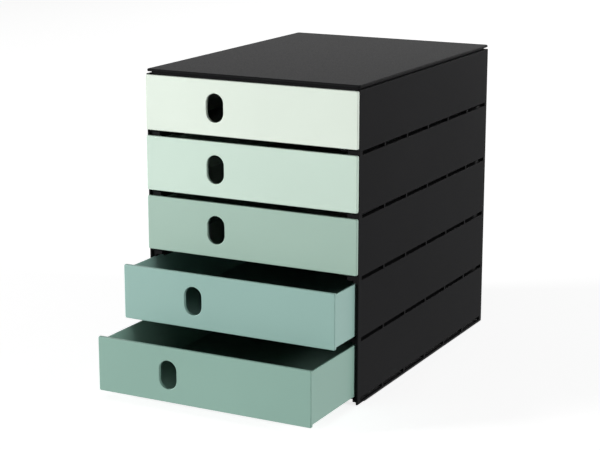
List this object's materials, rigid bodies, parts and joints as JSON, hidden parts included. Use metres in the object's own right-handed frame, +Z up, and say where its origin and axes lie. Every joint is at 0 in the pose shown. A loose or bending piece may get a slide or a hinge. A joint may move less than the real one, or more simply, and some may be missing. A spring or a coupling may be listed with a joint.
{
  "type": "desk drawer box",
  "caption": "Stacked desk file box of closed-front sliding drawers with finger holes in a dark slotted housing, for A4 or letter papers.",
  "frame": {"origin": "on the desk, under the middle of the whole box as stored, with its two lowest drawers pulled out", "axes": "+X to the right seen from the front, +Z up, the drawers open towards -Y"},
  "size_m": [0.242, 0.4348, 0.3236],
  "materials": {
    "housing_plastic": "anthracite polystyrene, fine moulded satin",
    "foot_rubber": "matte",
    "drawer_green_1": "moulded polystyrene, satin gloss",
    "drawer_green_2": "moulded polystyrene, satin gloss",
    "drawer_green_3": "moulded polystyrene, satin gloss",
    "drawer_green_4": "moulded polystyrene, satin gloss",
    "drawer_green_5": "moulded polystyrene, satin gloss"
  },
  "bodies": {
    "housing": {"rubber_feet": "foot_rubber", "housing_tier_1": "housing_plastic", "housing_tier_2": "housing_plastic", "housing_tier_3": "housing_plastic", "housing_tier_4": "housing_plastic", "housing_tier_5": "housing_plastic", "top_cover": "housing_plastic"},
    "drawer_1": {"drawer_1": "drawer_green_5"},
    "drawer_2": {"drawer_2": "drawer_green_4"},
    "drawer_3": {"drawer_3": "drawer_green_3"},
    "drawer_4": {"drawer_4": "drawer_green_2"},
    "drawer_5": {"drawer_5": "drawer_green_1"}
  },
  "joints": [
    {"name": "drawer_1_slide", "type": "slide", "parent": "housing", "child": "drawer_1", "axis": [0, -1, 0], "range_m": [-0.097, 0.1502]},
    {"name": "drawer_2_slide", "type": "slide", "parent": "housing", "child": "drawer_2", "axis": [0, -1, 0], "range_m": [-0.0473, 0.1999]},
    {"name": "drawer_3_slide", "type": "slide", "parent": "housing", "child": "drawer_3", "axis": [0, -1, 0], "range_m": [0, 0.2472]},
    {"name": "drawer_4_slide", "type": "slide", "parent": "housing", "child": "drawer_4", "axis": [0, -1, 0], "range_m": [0, 0.2472]},
    {"name": "drawer_5_slide", "type": "slide", "parent": "housing", "child": "drawer_5", "axis": [0, -1, 0], "range_m": [0, 0.2472]}
  ]
}
